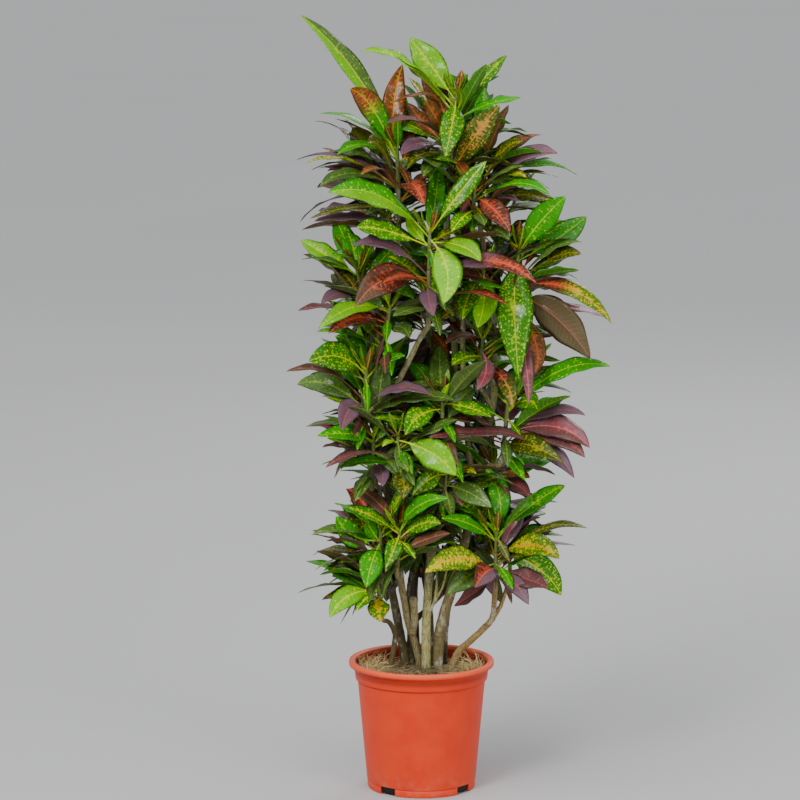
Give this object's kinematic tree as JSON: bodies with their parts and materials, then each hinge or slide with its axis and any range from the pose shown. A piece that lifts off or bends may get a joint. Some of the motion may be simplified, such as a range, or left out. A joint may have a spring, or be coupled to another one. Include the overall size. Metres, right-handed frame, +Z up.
{
  "type": "potted croton",
  "caption": "Bushy croton shrub with woody stems and glossy pointed green, yellow, red and purple leaves, growing in a terracotta-coloured plastic grower's pot.",
  "frame": {"origin": "middle of the pot's flat base, on the surface that the pot stands on", "axes": "+Z up along the pot's axis, the pictured front of the plant looks along -Y, +X is to the right of that view"},
  "size_m": [0.4893, 0.3782, 1.1894],
  "materials": {
    "pot": "terracotta-coloured moulded plastic with a soft sheen",
    "soil": "dry fibrous coir over dark potting mix",
    "bark": "rough grey-brown bark with leaf scars",
    "young_leaf": "glossy green and lime blades dotted with yellow",
    "old_leaf": "glossy dark green, red, purple and bronze blades with bright midribs"
  },
  "bodies": {
    "root": {"pot": "pot", "shoot_back_crown_left_old": "old_leaf", "shoot_back_crown_left_young": "young_leaf", "shoot_back_crown_middle_old": "old_leaf", "shoot_back_crown_middle_young": "young_leaf", "shoot_back_left_upper_old": "old_leaf", "shoot_back_left_upper_young": "young_leaf", "shoot_back_low_old": "old_leaf", "shoot_back_low_right": "young_leaf", "shoot_back_low_young": "young_leaf", "shoot_back_mid_left_old": "old_leaf", "shoot_back_mid_left_young": "young_leaf", "shoot_back_middle_old": "old_leaf", "shoot_back_middle_young": "young_leaf", "shoot_back_right_old": "old_leaf", "shoot_back_right_upper_old": "old_leaf", "shoot_back_right_upper_young": "young_leaf", "shoot_back_right_young": "young_leaf", "shoot_crown_left_old": "old_leaf", "shoot_crown_left_young": "young_leaf", "shoot_crown_middle_old": "old_leaf", "shoot_crown_middle_young": "young_leaf", "shoot_crown_right_old": "old_leaf", "shoot_crown_right_young": "young_leaf", "shoot_foot_left": "young_leaf", "shoot_front_middle_old": "old_leaf", "shoot_front_middle_young": "young_leaf", "shoot_front_right_upper": "young_leaf", "shoot_inner_right": "young_leaf", "shoot_low_front": "young_leaf", "shoot_low_left_old": "old_leaf", "shoot_low_left_young": "young_leaf", "shoot_low_middle": "young_leaf", "shoot_low_right_inner": "young_leaf", "shoot_low_right_old": "old_leaf", "shoot_low_right_young": "young_leaf", "shoot_mid_front": "young_leaf", "shoot_mid_left_inner": "young_leaf", "shoot_mid_left_old": "old_leaf", "shoot_mid_left_young": "young_leaf", "shoot_mid_low_left_old": "old_leaf", "shoot_mid_low_left_young": "young_leaf", "shoot_mid_middle_old": "old_leaf", "shoot_mid_middle_young": "young_leaf", "shoot_mid_right_inner": "young_leaf", "shoot_mid_right_old": "old_leaf", "shoot_mid_right_young": "young_leaf", "shoot_right_old": "old_leaf", "shoot_right_young": "young_leaf", "soil": "soil", "stem_back": "bark", "stem_far_right": "bark", "stem_front": "bark", "stem_left": "bark", "stem_left_thin": "bark", "stem_middle": "bark", "stem_right": "bark"}
  },
  "joints": []
}
